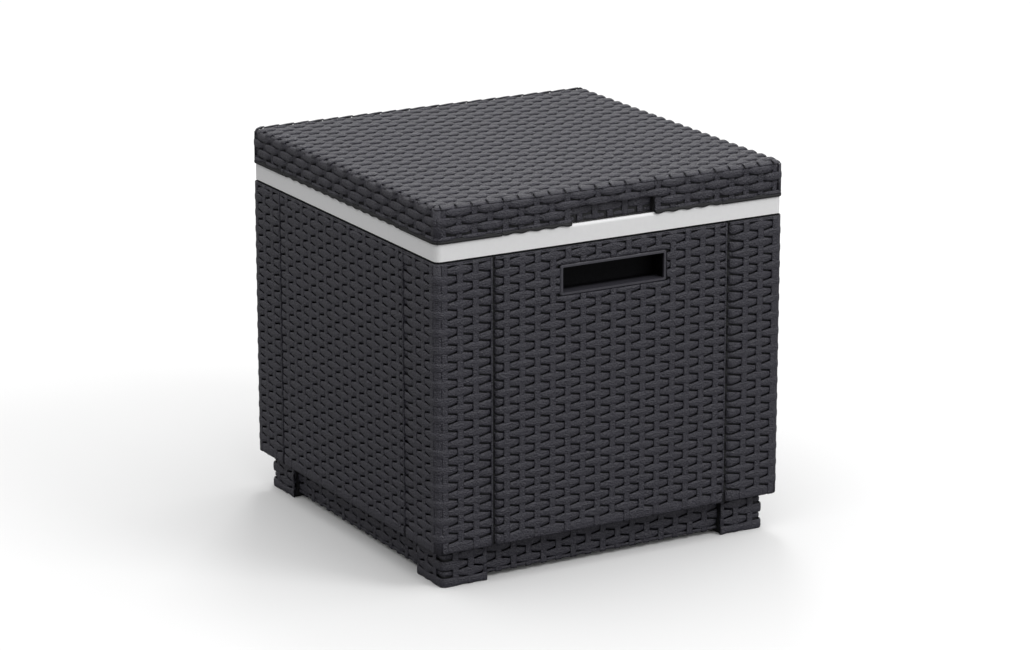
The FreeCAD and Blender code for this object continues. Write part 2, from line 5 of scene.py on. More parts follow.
import bpy
import numpy as np
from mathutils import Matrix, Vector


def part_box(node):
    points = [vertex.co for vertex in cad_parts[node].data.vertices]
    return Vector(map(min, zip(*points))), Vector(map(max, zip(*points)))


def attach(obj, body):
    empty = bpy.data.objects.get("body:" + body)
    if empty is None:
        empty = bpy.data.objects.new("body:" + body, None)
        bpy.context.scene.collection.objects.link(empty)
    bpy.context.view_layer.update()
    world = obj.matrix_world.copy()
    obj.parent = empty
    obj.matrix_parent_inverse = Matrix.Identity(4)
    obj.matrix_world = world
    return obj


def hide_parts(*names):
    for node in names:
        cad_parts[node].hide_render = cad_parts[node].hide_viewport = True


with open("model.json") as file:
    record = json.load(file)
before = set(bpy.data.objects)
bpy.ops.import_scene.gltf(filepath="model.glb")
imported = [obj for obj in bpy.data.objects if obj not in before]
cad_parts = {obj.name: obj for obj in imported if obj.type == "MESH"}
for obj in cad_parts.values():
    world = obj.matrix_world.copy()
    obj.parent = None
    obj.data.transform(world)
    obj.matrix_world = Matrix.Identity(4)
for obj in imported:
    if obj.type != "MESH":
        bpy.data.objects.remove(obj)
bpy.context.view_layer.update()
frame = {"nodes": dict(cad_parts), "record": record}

# Sizes are millimetres in the CAD frame, front face towards -Y. Meshes, lamps and camera are in metres.
MM = 0.001


def box_mm(node):
    """Lowest and highest corner of a CAD node in millimetres."""
    low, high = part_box(node)
    return np.array(low) / MM, np.array(high) / MM


LID_LOW, LID_HIGH = box_mm("lid_shell")
POST_LOW, POST_HIGH = box_mm("post_front_right")
GRIP_LOW, GRIP_HIGH = box_mm("front_grip")
PLINTH_LOW, PLINTH_HIGH = box_mm("base_plinth")
FOOT_LOW, FOOT_HIGH = box_mm("foot_front_right")

# Outline of walls, lid and plinth
HALF = LID_HIGH[0]
CORNER_R = 9.0
LID_TOP = LID_HIGH[2]
LID_EDGE_R = 7.0
LID_BOTTOM = LID_LOW[2]
WALL_Z0 = POST_LOW[2]
WALL_Z1 = POST_HIGH[2]
SKIRT_FACE = PLINTH_HIGH[0]
SKIRT_Z0 = PLINTH_LOW[2]
FOOT_FACE = FOOT_HIGH[0]
FOOT_INNER = FOOT_LOW[0]
PLINTH_R = 6.0
BACKING = 4.0            # depth of the wall behind the strands, which is painted near black as shade
BEYOND = 1000.0          # half width of a face without corners

# Weave
PITCH = 18.125           # upright stakes
ROW = 9.163              # level weft rows
LAST_STAKE = 11          # stakes count from the middle of a face, this one is nearest the corner
LAST_FOOT_STAKE = 10
JOINT_STAKE = 8          # joints and the inner ends of the feet take this one's place
ODD_ROW_Z = 332.55       # a row of the walls that passes over the odd stakes
LID_ODD_ROW_Z = 392.9
PLINTH_ODD_ROW_Z = 32.2
LID_ROWS = range(-1, 2)  # counted down from the odd row
SKIRT_ROWS = 3
FOOT_ROWS = 4
FOOT_LAST_LEVEL = 0.2    # the lowest row of a foot hardly dives
TOP_ROW = 9.15           # rows of the table top
LAST_TOP_ROW = 21
TOP_EDGE_ROW = LAST_TOP_ROW + 0.74  # thin row beside the brick border, in rows from the middle
TOP_EDGE_SINK = 0.8
WEFT_CREST = 0.03        # depth below the outer face
STAKE_HALF = 3.5
STAKE_T = 1.4
STAKE_CREST = 0.2
STAKE_DIP = 0.4
LID_STAKE_SINK = 2.2     # the lid's stakes lie deeper
NOTCH_STAKE_SINK = 0.4
TOP_STAKE_SINK = 2.2
TOP_STAKE_HALF = 4.2
CORNER_STAKE_HALF = 5.0
CORNER_CREST = 0.5
WEAVE_GAP = 0.4          # strands stop this far from a grip or foot
STEP = 2.4               # sample length along a strand
TOP_STEP = 3.6           # along the rows of the table top
STRAIGHT_STEP = 20.0     # along a straight upright

# Joints of panels and posts: a flat strip, a dark slit to its right, then rows that rise out of the slit
JOINT_X = box_mm("panel_front")[1][0]
JOINT_HALF = 2.25        # the strip ends this far left of the joint's middle
STRIP_W = 1.8
STRIP_CREST = 0.15
JOINT_SLIT = 3.4         # front and rear
JOINT_D = 2.8            # depth at which the rows start
SIDE_JOINT_SLIT = 0.3    # left and right
SIDE_JOINT_D = 1.0
JOINT_RAMP = 3.6         # length over which the rows rise

# Ends of strands
WALL_STRAND_Z0 = WALL_Z0 + 0.3
WALL_STAKE_Z1 = WALL_Z1 - 0.6
WALL_STRIP_Z1 = WALL_Z1 - 0.3
SKIRT_STAKE_Z0 = SKIRT_Z0 + 0.1
FOOT_STAKE_Z0 = 0.6
FOOT_STRIP_Z0 = 2.0
FOOT_STRIP_CREST = 0.6
FOOT_STRIP_END = JOINT_STAKE * PITCH + STAKE_HALF
FOOT_MARGIN = 0.3        # rows start this far from a foot's inner side
PLINTH_STRAND_Z1 = PLINTH_ODD_ROW_Z + ROW / 2
LID_STAKE_Z0 = LID_BOTTOM + 2.0
LID_STAKE_Z1 = LID_TOP - 3.5
LID_CORNER_Z1 = LID_TOP - 5.0
LID_REACH = HALF - CORNER_R + CORNER_R * math.pi / 4  # middle of a corner
TOP_REACH = HALF - LID_EDGE_R + 9.0                   # over the left and right edges

# Thin level strands along edges: height of the middle, half height and depth of the crest
WALL_TOP_EDGES = ((WALL_Z1 - 2.3, 0.8, 0.5), (WALL_Z1 - 0.8, 0.75, 0.9))
SKIRT_EDGE = (SKIRT_Z0 + 2.6, 1.6, 0.9)
LID_EDGE = (LID_BOTTOM + 1.5, 1.4, 0.1)
LID_SHELF = (LID_BOTTOM + 3.2, 1.1, 0.8)

# Lower edge of the lid
SCALLOP = 1.5            # it rises this far between the stakes
SCALLOP_END = 7.3 * PITCH
LID_LOW_ROW_Z = LID_BOTTOM + 5.0
LID_LOW_SINK = 0.3
SCALLOP_ROW_SINK = 1.0   # the lowest row lies deeper above the scallops

# Brick border along the lid's front and rear edges
BRICK_SHIFT = 3.2        # bricks start this far left of the stakes
BRICK_GAP = 0.7
BRICK_MID = 3.4          # past the end of the flat top
BRICK_HALF = 4.2
BRICK_CREST = 0.05
BRICK_TILT = 1.0         # its right end dips under the next one
BRICK_FOOT = LID_TOP - 4.4
BRICK_END = HALF - CORNER_R + 12.0

# Grips: spans where plastic turns to the cup's painted shade, measured from the middle of the cooler and
# from the floor
GRIP_SILL = GRIP_LOW[2] + 3.3
GRIP_FRAME_SPAN = (HALF - 3.5, HALF - 1.5)
SILL_PAINTED_SHADE_SPAN = (HALF - 17.0, HALF - 11.0)
SILL_HEIGHT_SPAN = (GRIP_SILL, GRIP_SILL + 0.5)

# Finger notches in the lid
NOTCH_HALF = 50.3
NOTCH_TOP = LID_BOTTOM + 19.7
NOTCH_D = 10.0
NOTCH_BACK = 2.0         # strands in front of the notch's back wall
NOTCH_SIDE = 1.0         # and short of its side walls
NOTCH_STAKE = 2          # last stake behind a notch

# White rim band
RIM_INSET = 2.0          # behind the faces of walls and lid
RIM_R = CORNER_R - RIM_INSET
LIP_PROUD = 0.1          # its shoulder in front of the band
LIP_H = 1.7              # and above the lid's lower edge
LIP_HALF = 2.15
LIP_LEAN = 1.6           # the shoulder leans in towards the top

# Windows in the weave: from and to along a face, then lower and upper height
GRIP_HOLE = (GRIP_LOW[0] - WEAVE_GAP, GRIP_HIGH[0] + WEAVE_GAP, GRIP_LOW[2], GRIP_HIGH[2])
NOTCH_HOLE = (-NOTCH_HALF, NOTCH_HALF, LID_BOTTOM - 1, NOTCH_TOP)
ABOVE_NOTCH = (-NOTCH_HALF, NOTCH_HALF, NOTCH_TOP, LID_TOP)
ABOVE_SIDES = (-BEYOND, BEYOND, BRICK_FOOT, LID_TOP)

# Seeds of the strands' streaks
PANEL_SEED = 10
POST_SEED = 20
SKIRT_SEED = 30
FOOT_SEED = 40
LID_SEED = 50
LID_EDGE_SEED = 51
TOP_SEED = 60
LIP_SEED = 70

QUARTER_NAMES = ["front", "right", "rear", "left"]
CORNER_NAMES = ["front_right", "rear_right", "rear_left", "front_left"]


def signed_power(values, power):
    return np.sign(values) * np.abs(values) ** power


def ring_outline(count, squareness, thickness):
    """Rounded-rectangle section of a strand: position across from -1 to 1, and depth under its crest."""
    angle = 2 * math.pi * (np.arange(count) + 0.5) / count
    across = signed_power(np.cos(angle), squareness)
    depth = thickness / 2 * (1 - signed_power(np.sin(angle), squareness))
    return across / across.max(), depth


def lip_ring():
    """Section of a shoulder that bends in towards its upper edge."""
    across, depth = ring_outline(16, 0.5, 1.6)
    return across, depth + LIP_LEAN * ((1 + across) / 2) ** 2


# A row: half height where it dives under a stake and in the middle of its float, depth of the dive, its
# suddenness at the left and the right end of the float, roundness of both ends, and section
Style = namedtuple("Style", "dip_half half dip rise fall fill ring")
WALL_STYLE = Style(2.4, 4.9, 2.0, 14, 5, 1, ring_outline(12, 0.8, 2.2))
LID_STYLE = Style(2.2, 4.35, 3.2, 6, 4, 2.5, ring_outline(12, 0.85, 2.6))
THIN_STYLE = LID_STYLE._replace(dip_half=1.3, half=2.2)
NOTCH_STYLE = LID_STYLE._replace(dip=1.8)
TOP_STYLE = Style(3.6, 4.7, 3.2, 2.5, 2.5, 1, ring_outline(12, 1.0, 4.2))
TOP_EDGE_STYLE = TOP_STYLE._replace(dip_half=1.6, half=2.0)
BOTTOM_ROW_DIP = 0.6     # share of the dive that the lowest row of the walls keeps
STAKE_RING = ring_outline(8, 0.5, STAKE_T)
STRIP_RING = ring_outline(8, 0.3, BACKING)
RIM_RING = ring_outline(8, 0.8, 0.9)
SHELF_RING = ring_outline(8, 0.5, 3.6)
BRICK_RING = ring_outline(16, 0.5, 1.6)


def turn(points, quarters):
    """Points turned about the upright axis from the front to another side."""
    angle = math.pi / 2 * quarters
    c, s = round(math.cos(angle)), round(math.sin(angle))
    x, y = points[..., 0].copy(), points[..., 1].copy()
    points[..., 0] = c * x - s * y
    points[..., 1] = s * x + c * y
    return points


def wrap(u, depth, half, radius):
    """Plan of a square with round corners: u runs along the front and on round the corners."""
    flat = half - radius
    arc_end = flat + radius * math.pi / 2
    side = np.abs(u)
    angle = np.clip((side - flat) / radius, 0, math.pi / 2)
    reach = radius - depth
    past = np.maximum(side - arc_end, 0)
    x = np.where(side <= flat, side, flat + reach * np.sin(angle))
    y = np.where(side <= flat, -(half - depth), -(flat + reach * np.cos(angle)) + past)
    return np.sign(u) * x, y


def wall_chart(half, radius, quarters):
    """Places (along, height, depth) on an upright wall and round its corners."""
    def place(u, v, depth):
        x, y = wrap(u, depth, half, radius)
        return turn(np.stack([x, y, v + 0 * u], -1), quarters)
    return place


def lid_chart(quarters):
    """As a wall, leaning in over the lid's rounded upper edge."""
    def place(u, v, depth):
        rise = np.clip(v - (LID_TOP - LID_EDGE_R), 0, LID_EDGE_R - 0.5)
        lean = LID_EDGE_R - np.sqrt(LID_EDGE_R ** 2 - rise ** 2)
        x, y = wrap(u, depth + lean, HALF, CORNER_R)
        return turn(np.stack([x, y, v + 0 * u], -1), quarters)
    return place


def edge_chart(quarters):
    """Along the lid's rounded edge: v starts where the flat top ends and runs outwards and down."""
    def place(u, v, depth):
        angle = np.clip(v / LID_EDGE_R, 0, math.pi / 2)
        reach = LID_EDGE_R - depth
        inward = LID_EDGE_R - reach * np.sin(angle) - np.minimum(v, 0)
        drop = LID_EDGE_R - reach * np.cos(angle) + np.maximum(v - LID_EDGE_R * math.pi / 2, 0)
        x, y = wrap(u, inward, HALF, CORNER_R)
        return turn(np.stack([x, y, LID_TOP - drop], -1), quarters)
    return place


def top_chart(u, v, depth):
    """Table top: u runs along X and on over the left and right edges."""
    flat = HALF - LID_EDGE_R
    angle = np.maximum(np.abs(u) - flat, 0) / LID_EDGE_R
    reach = LID_EDGE_R - depth
    x = np.where(np.abs(u) <= flat, u, np.sign(u) * (flat + reach * np.sin(angle)))
    z = np.where(np.abs(u) <= flat, LID_TOP - depth, LID_TOP - LID_EDGE_R + reach * np.cos(angle))
    return np.stack([x, v + 0 * u, z], -1)


class Weave:
    """Gathers closed strands of one woven piece and turns them into a mesh."""

    def __init__(self, seed):
        self.points = []
        self.quads = []
        self.strands = []
        self.count = 0
        self.random = np.random.default_rng(seed)

    def strand(self, place, run, centre, crest, half, ring, upright=False, limits=None):
        """One strand along the run: middle line, depth of the crest and half breadth at each sample."""
        across, under = ring
        centre = np.broadcast_to(centre, run.shape)[:, None]
        side = centre + half[:, None] * across
        if limits is not None:
            side = np.clip(side, limits[0][:, None], limits[1][:, None])
        along = np.broadcast_to(run[:, None], side.shape)
        depth = crest[:, None] + under
        points = place(side, along, depth) if upright else place(along, side, depth)
        size = len(across)
        index = np.arange(side.size).reshape(side.shape) + self.count
        following = np.roll(index, -1, 1)
        quads = np.stack([index[:-1], index[1:], following[1:], following[:-1]], -1).reshape(-1, 4)
        pairs = np.arange(size // 2 - 1)
        cap = np.stack([pairs, pairs + 1, size - 2 - pairs, size - 1 - pairs], -1)
        quads = np.concatenate([quads, index[0][cap], index[-1][cap[:, ::-1]]])
        if upright:
            quads = quads[:, ::-1]
        seed = np.full(side.shape, self.random.uniform(0, 1000))
        self.points.append(points.reshape(-1, 3))
        self.quads.append(quads)
        self.strands.append(np.stack([along, side - centre, seed], -1).reshape(-1, 3))
        self.count += side.size

    def piece(self, name, node, body, material, slot="woven_plastic"):
        """Mesh of all strands, with each point's place along, across and on which strand."""
        points = np.concatenate(self.points) * MM
        quads = np.concatenate(self.quads)
        mesh = bpy.data.meshes.new(name)
        mesh.vertices.add(len(points))
        mesh.vertices.foreach_set("co", points.astype(np.float32).ravel())
        mesh.loops.add(quads.size)
        mesh.loops.foreach_set("vertex_index", quads.astype(np.int32).ravel())
        mesh.polygons.add(len(quads))
        mesh.polygons.foreach_set("loop_start", np.arange(0, quads.size, 4, dtype=np.int32))
        attribute = mesh.attributes.new("strand", "FLOAT_VECTOR", "POINT")
        attribute.data.foreach_set("vector", np.concatenate(self.strands).astype(np.float32).ravel())
        mesh.update(calc_edges=True)
        mesh.shade_smooth()
        mesh.materials.append(material)
        dress(name, mesh, node, body)


def dress(name, mesh, node, body):
    """A piece that moves with a body, and may stand for a CAD node."""
    piece = bpy.data.objects.new(name, mesh)
    bpy.context.scene.collection.objects.link(piece)
    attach(piece, body)
    if node:
        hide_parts(node)


def samples(start, end, step=STEP):
    return np.linspace(start, end, max(3, int(abs(end - start) / step) + 2))


def face_position(u, half, radius):
    """Distance from the middle of whichever face a wrapped position lies on."""
    flat = half - radius
    arc = radius * math.pi / 2
    side = np.abs(u)
    return np.where(side <= flat + arc / 2, side, side - arc - 2 * flat)


def weft_level(position, over_even, last):
    """1 where a weft row passes over the stakes, -1 where it passes under."""
    clipped = np.clip(position, -last * PITCH, last * PITCH)
    level = np.cos(math.pi * clipped / PITCH)
    return level if over_even else -level


def dive(level, style):
    """Depth of a row below its crest: it stays up and dives close to the next stake."""
    power = np.where(np.gradient(level) > 0, style.rise, style.fall)
    return style.dip * ((1 - level) / 2) ** power


def breadth(level, style):
    """Half height of a row."""
    return style.half - (style.half - style.dip_half) * ((1 - level) / 2) ** style.fill


def stretches(start, end, blocked):
    """What is left of a run when the blocked stretches are taken out."""
    left = [(start, end)]
    for low, high in blocked:
        rest = []
        for a, b in left:
            if low > a:
                rest.append((a, min(b, low)))
            if high < b:
                rest.append((max(a, high), b))
        left = [(a, b) for a, b in rest if b - a > 0.5]
    return left


def weft(weave, place, start, end, z, over_even, half=HALF, radius=CORNER_R, last=LAST_STAKE,
         style=WALL_STYLE, holes=(), lowest_level=-1.0, step=STEP, sink=0.0, joint=None):
    """One weft row. Windows stop or trim it. Joint is the start and depth of its ramp."""
    through = [(u0, u1) for u0, u1, z0, z1 in holes if z0 < z < z1]
    for a, b in stretches(start, end, through):
        run = samples(a, b, step)
        level = weft_level(face_position(run, half, radius), over_even, last)
        level = np.maximum(level, lowest_level)
        crest = WEFT_CREST + sink + dive(level, style)
        low = np.full(run.shape, -np.inf)
        high = np.full(run.shape, np.inf)
        for u0, u1, z0, z1 in holes:
            beside = (run > u0 - STEP) & (run < u1 + STEP)
            if z <= z0:
                high[beside] = z0
            if z >= z1:
                low[beside] = z1
        if joint is not None:
            crest = crest + joint_ramp(run, *joint)
        weave.strand(place, run, z, crest, breadth(level, style), style.ring, limits=(low, high))


def joint_ramp(run, start, depth):
    """Extra depth of a row that rises out of the joint at its left end."""
    return depth * np.clip(1 - (run - start) / JOINT_RAMP, 0, 1)


def joint_slit(quarters):
    """Width of the slit beside a joint, and depth of the rows that start there."""
    return (SIDE_JOINT_SLIT, SIDE_JOINT_D) if quarters % 2 else (JOINT_SLIT, JOINT_D)


def bottom_row(weave, place, start, end, z, over_even, depth):
    """Lowest row of the walls: its lower side is drawn down to a straight edge."""
    run = samples(start, end)
    level = weft_level(face_position(run, HALF, CORNER_R), over_even, LAST_STAKE)
    upper = z + breadth(level, WALL_STYLE)
    lower = WALL_STRAND_Z0
    crest = WEFT_CREST + BOTTOM_ROW_DIP * dive(level, WALL_STYLE) + joint_ramp(run, start, depth)
    weave.strand(place, run, (upper + lower) / 2, crest, (upper - lower) / 2, WALL_STYLE.ring)


def stake(weave, place, index, start, end, odd_row, rows, holes=(), sink=0.0, row=ROW,
          breadth_half=STAKE_HALF):
    """One stake, over the rows that pass under it. Rows gives its first and last row."""
    u = index * PITCH
    through = [(z0, z1) for u0, u1, z0, z1 in holes if u0 < u < u1]
    for a, b in stretches(start, end, through):
        run = samples(a, b)
        level = np.cos(math.pi * (np.clip(run, *rows) - odd_row) / row)
        if index % 2:
            level = -level
        crest = sink + STAKE_CREST + (STAKE_DIP - STAKE_CREST) * (1 - level) / 2
        half = np.full(run.shape, breadth_half)
        weave.strand(place, run, u, crest, half, STAKE_RING, upright=True)


def straight(weave, place, middle, half, z0, z1, crest, ring):
    """Straight upright strand."""
    run = samples(z0, z1, STRAIGHT_STEP)
    depth = np.full(run.shape, crest)
    weave.strand(place, run, middle, depth, np.full(run.shape, half), ring, upright=True)


def strip(weave, place, u0, u1, z0, z1, crest):
    """Flat upright strip."""
    straight(weave, place, (u0 + u1) / 2, (u1 - u0) / 2, z0, z1, crest, STRIP_RING)


def corner_stake(weave, place, half, radius, z0, z1):
    """Flat stake bent round a corner."""
    middle = half - radius + radius * math.pi / 4
    straight(weave, place, middle, CORNER_STAKE_HALF, z0, z1, CORNER_CREST, BRICK_RING)


def rim(weave, place, u0, u1, z, half_height, crest, holes=(), scallop=0.0, ring=RIM_RING):
    """Thin level strand along an edge, which may rise between the stakes."""
    through = [(a, b) for a, b, z0, z1 in holes if z0 < z < z1]
    for a, b in stretches(u0, u1, through):
        run = samples(a, b)
        rise = scallop * (1 - np.cos(2 * math.pi * run / PITCH)) / 2
        flat = np.full(run.shape, crest)
        weave.strand(place, run, z + rise, flat, np.full(run.shape, half_height), ring)


def wall_rows():
    """Height and parity of each weft row of the walls, from the top."""
    rows = []
    number = -1
    while ODD_ROW_Z - number * ROW > WALL_Z0 + ROW / 2:
        rows.append((ODD_ROW_Z - number * ROW, number % 2 == 1))
        number += 1
    return rows


def weave_wall(weave, place, start, end, holes, depth):
    """Rows and edges of a stretch of wall that starts this deep in a joint. Gives its end rows."""
    rows = wall_rows()
    for z, over_even in rows[:-1]:
        weft(weave, place, start, end, z, over_even, holes=holes, joint=(start, depth))
    bottom_row(weave, place, start, end, *rows[-1], depth)
    for edge in WALL_TOP_EDGES:
        rim(weave, place, start, end, *edge)
    return rows[-1][0], rows[0][0]


def woven_panel(quarters, material):
    """Wall panel of one side, round its grip at the front and rear."""
    side = QUARTER_NAMES[quarters]
    weave = Weave(PANEL_SEED + quarters)
    place = wall_chart(HALF, CORNER_R, quarters)
    holes = [GRIP_HOLE] if quarters % 2 == 0 else []
    slit, depth = joint_slit(quarters)
    left = -JOINT_X - JOINT_HALF + slit
    right = JOINT_X - JOINT_HALF
    rows = weave_wall(weave, place, left, right - STRIP_W, holes, depth)
    for index in range(1 - JOINT_STAKE, JOINT_STAKE):
        stake(weave, place, index, WALL_STRAND_Z0, WALL_STAKE_Z1, ODD_ROW_Z, rows, holes)
    strip(weave, place, right - STRIP_W, right, WALL_STRAND_Z0, WALL_STRIP_Z1, STRIP_CREST)
    weave.piece("weave_panel_" + side, "panel_" + side, "cabinet", material)


def woven_post(quarters, material):
    """Corner post to the right of a side: weft runs on round the corner to the next joint."""
    corner = CORNER_NAMES[quarters]
    weave = Weave(POST_SEED + quarters)
    place = wall_chart(HALF, CORNER_R, quarters)
    beyond = wall_chart(HALF, CORNER_R, quarters + 1)
    length = 2 * (HALF - CORNER_R) + CORNER_R * math.pi / 2
    slit, depth = joint_slit(quarters)
    left = JOINT_X - JOINT_HALF + slit
    right = length - JOINT_X - JOINT_HALF
    rows = weave_wall(weave, place, left, right - STRIP_W, [], depth)
    for index in range(JOINT_STAKE + 1, LAST_STAKE + 1):
        stake(weave, place, index, WALL_STRAND_Z0, WALL_STAKE_Z1, ODD_ROW_Z, rows)
        stake(weave, beyond, -index, WALL_STRAND_Z0, WALL_STAKE_Z1, ODD_ROW_Z, rows)
    strip(weave, place, right - STRIP_W, right, WALL_STRAND_Z0, WALL_STRIP_Z1, STRIP_CREST)
    corner_stake(weave, place, HALF, CORNER_R, WALL_STRAND_Z0, WALL_STAKE_Z1)
    weave.piece("weave_post_" + corner, "post_" + corner, "cabinet", material)


def woven_skirts(material):
    """The plinth's four straight skirts."""
    weave = Weave(SKIRT_SEED)
    end = FOOT_INNER - WEAVE_GAP
    rows = (PLINTH_ODD_ROW_Z - (SKIRT_ROWS - 1) * ROW, PLINTH_ODD_ROW_Z)
    for quarters in range(4):
        place = wall_chart(SKIRT_FACE, PLINTH_R, quarters)
        for number in range(SKIRT_ROWS):
            z = PLINTH_ODD_ROW_Z - number * ROW
            weft(weave, place, -end, end, z, number % 2 == 1, SKIRT_FACE, PLINTH_R)
        rim(weave, place, -end, end, *SKIRT_EDGE)
        for index in range(1 - JOINT_STAKE, JOINT_STAKE):
            stake(weave, place, index, SKIRT_STAKE_Z0, PLINTH_STRAND_Z1, PLINTH_ODD_ROW_Z, rows)
    weave.piece("weave_skirts", "base_plinth", "cabinet", material)


def woven_foot(quarters, material):
    """Foot at the right end of a side, woven on its two outer faces."""
    corner = CORNER_NAMES[quarters]
    weave = Weave(FOOT_SEED + quarters)
    place = wall_chart(FOOT_FACE, PLINTH_R, quarters)
    beyond = wall_chart(FOOT_FACE, PLINTH_R, quarters + 1)
    length = 2 * (FOOT_FACE - PLINTH_R) + PLINTH_R * math.pi / 2
    start = FOOT_INNER + FOOT_MARGIN
    for number in range(FOOT_ROWS):
        z = PLINTH_ODD_ROW_Z - number * ROW
        lowest_level = FOOT_LAST_LEVEL if number == FOOT_ROWS - 1 else -1.0
        weft(weave, place, start, length - start, z, number % 2 == 1, FOOT_FACE, PLINTH_R,
             LAST_FOOT_STAKE, lowest_level=lowest_level)
    rows = (PLINTH_ODD_ROW_Z - (FOOT_ROWS - 1) * ROW, PLINTH_ODD_ROW_Z)
    for index in range(JOINT_STAKE + 1, LAST_FOOT_STAKE + 1):
        stake(weave, place, index, FOOT_STAKE_Z0, PLINTH_STRAND_Z1, PLINTH_ODD_ROW_Z, rows)
        stake(weave, beyond, -index, FOOT_STAKE_Z0, PLINTH_STRAND_Z1, PLINTH_ODD_ROW_Z, rows)
    heights = (FOOT_STRIP_Z0, PLINTH_STRAND_Z1)
    strip(weave, place, start, FOOT_STRIP_END, *heights, FOOT_STRIP_CREST)
    strip(weave, beyond, -FOOT_STRIP_END, -start, *heights, FOOT_STRIP_CREST)
    weave.piece("weave_foot_" + corner, "foot_" + corner, "cabinet", material)


def woven_lid_sides(material, shade):
    """Sides of the lid with its lower edge, the backs of its finger notches and its brick borders. The
    lower edge is painted near black as shade.
    """
    weave = Weave(LID_SEED)
    # the lower edge's strands take the near-black material: painted shade under the lid's rows
    edge = Weave(LID_EDGE_SEED)
    for quarters in range(4):
        place = lid_chart(quarters)
        holes = [NOTCH_HOLE, ABOVE_SIDES] if quarters % 2 == 0 else []
        lid_rows(weave, place, -LID_REACH, LID_REACH, LAST_STAKE, holes, LID_STYLE, LID_STAKE_SINK)
        rim(edge, place, -SCALLOP_END, SCALLOP_END, *LID_EDGE, holes, SCALLOP)
        rim(edge, place, -LID_REACH, LID_REACH, *LID_SHELF, holes, ring=SHELF_RING)
        for side in (-1, 1):
            ends = sorted([side * SCALLOP_END, side * LID_REACH])
            rim(edge, place, *ends, *LID_EDGE)
        corner_stake(weave, place, HALF, CORNER_R, LID_STAKE_Z0, LID_CORNER_Z1)
    for quarters in (0, 2):
        back = wall_chart(HALF - NOTCH_D + NOTCH_BACK, CORNER_R, quarters)
        end = NOTCH_HALF - NOTCH_SIDE
        lid_rows(weave, back, -end, end, NOTCH_STAKE, [ABOVE_NOTCH], NOTCH_STYLE, NOTCH_STAKE_SINK)
        brick_border(weave, edge_chart(quarters))
    edge.piece("lid_edge_painted_shade", "lid_shell", "lid", shade)
    weave.piece("weave_lid_sides", "lid_shell", "lid", material)


def lid_rows(weave, place, start, end, last, holes, style, stake_sink):
    """Weft rows and stakes of one upright face of the lid, with a thin row above its lower edge."""
    for number in LID_ROWS:
        z = LID_ODD_ROW_Z - number * ROW
        weft(weave, place, start, end, z, number % 2 == 1, style=style, holes=holes)
    low_row = (
        (start, -SCALLOP_END, LID_LOW_SINK),
        (-SCALLOP_END, SCALLOP_END, SCALLOP_ROW_SINK),
        (SCALLOP_END, end, LID_LOW_SINK),
    )
    for low, high, sink in low_row:
        low = max(low, start)
        high = min(high, end)
        if high > low:
            weft(weave, place, low, high, LID_LOW_ROW_Z, False, style=THIN_STYLE, holes=holes, sink=sink)
    rows = (LID_ODD_ROW_Z - 2 * ROW, LID_ODD_ROW_Z + ROW)
    for index in range(-last, last + 1):
        stake(weave, place, index, LID_STAKE_Z0, LID_STAKE_Z1, LID_ODD_ROW_Z, rows, holes, stake_sink)


def brick_border(weave, place):
    """Row of short tilted strands along one rounded edge of the table top."""
    for index in range(-LAST_STAKE - 1, LAST_STAKE + 1):
        start = max(index * PITCH - BRICK_SHIFT, -BRICK_END)
        end = min((index + 1) * PITCH - BRICK_SHIFT, BRICK_END)
        run = samples(start + BRICK_GAP, end - BRICK_GAP)
        crest = BRICK_CREST + BRICK_TILT * np.linspace(0, 1, len(run)) ** 2
        weave.strand(place, run, BRICK_MID, crest, np.full(run.shape, BRICK_HALF), BRICK_RING)


def woven_table_top(material):
    """Table top: rows along X, a thin row beside each brick border, and stakes from front to rear."""
    weave = Weave(TOP_SEED)
    for number in range(-LAST_TOP_ROW, LAST_TOP_ROW + 1):
        weft(weave, top_chart, -TOP_REACH, TOP_REACH, number * TOP_ROW, number % 2 == 0, half=BEYOND,
             style=TOP_STYLE, step=TOP_STEP)
    for side in (-1, 1):
        y = side * TOP_EDGE_ROW * TOP_ROW
        weft(weave, top_chart, -TOP_REACH, TOP_REACH, y, LAST_TOP_ROW % 2 == 1, half=BEYOND,
             style=TOP_EDGE_STYLE, step=TOP_STEP, sink=TOP_EDGE_SINK)
    end = HALF - CORNER_R
    for index in range(-LAST_STAKE, LAST_STAKE + 1):
        stake(weave, top_chart, index, -end, end, TOP_ROW, (-end, end), sink=TOP_STAKE_SINK, row=TOP_ROW,
              breadth_half=TOP_STAKE_HALF)
    weave.piece("weave_table_top", "lid_shell", "lid", material)


def rim_lip(material):
    """Shoulder of the white rim band, which bends in behind the lid's lower edge."""
    weave = Weave(LIP_SEED)
    reach = HALF - RIM_INSET - RIM_R + RIM_R * math.pi / 4
    z = LID_BOTTOM + LIP_H - LIP_HALF
    for quarters in range(4):
        place = wall_chart(HALF - RIM_INSET + LIP_PROUD, RIM_R, quarters)
        rim(weave, place, -reach, reach, z, LIP_HALF, 0.0, ring=lip_ring())
    weave.piece("rim_lip", None, "cabinet", material, "white_plastic")


def core(node, body, half, radius, bottom, top, material):
    """Copy of a CAD node with its outer faces drawn in behind the strands."""
    name = "core_" + node
    mesh = frame["nodes"][node].data.copy()
    mesh.name = name
    points = np.empty(len(mesh.vertices) * 3, np.float32)
    mesh.vertices.foreach_get("co", points)
    points = points.reshape(-1, 3).astype(float) / MM
    flat = half - radius
    out = np.abs(points[:, :2]) - flat
    in_corner = (out > 0).all(1)
    distance = np.hypot(*np.maximum(out, 0).T)
    shrink = np.minimum(1.0, (radius - BACKING) / np.maximum(distance, 1e-6))
    kept = np.where(in_corner[:, None], out * shrink[:, None], np.minimum(out, radius - BACKING))
    points[:, :2] = np.sign(points[:, :2]) * (flat + kept)
    points[:, 2] = np.clip(points[:, 2], bottom, top)
    mesh.vertices.foreach_set("co", (points * MM).astype(np.float32).ravel())
    mesh.update()
    mesh.materials.clear()
    mesh.materials.append(material)
    dress(name, mesh, node, body)


NOISE_SPAN = (0.3, 0.7)  # where most values of a noise lie


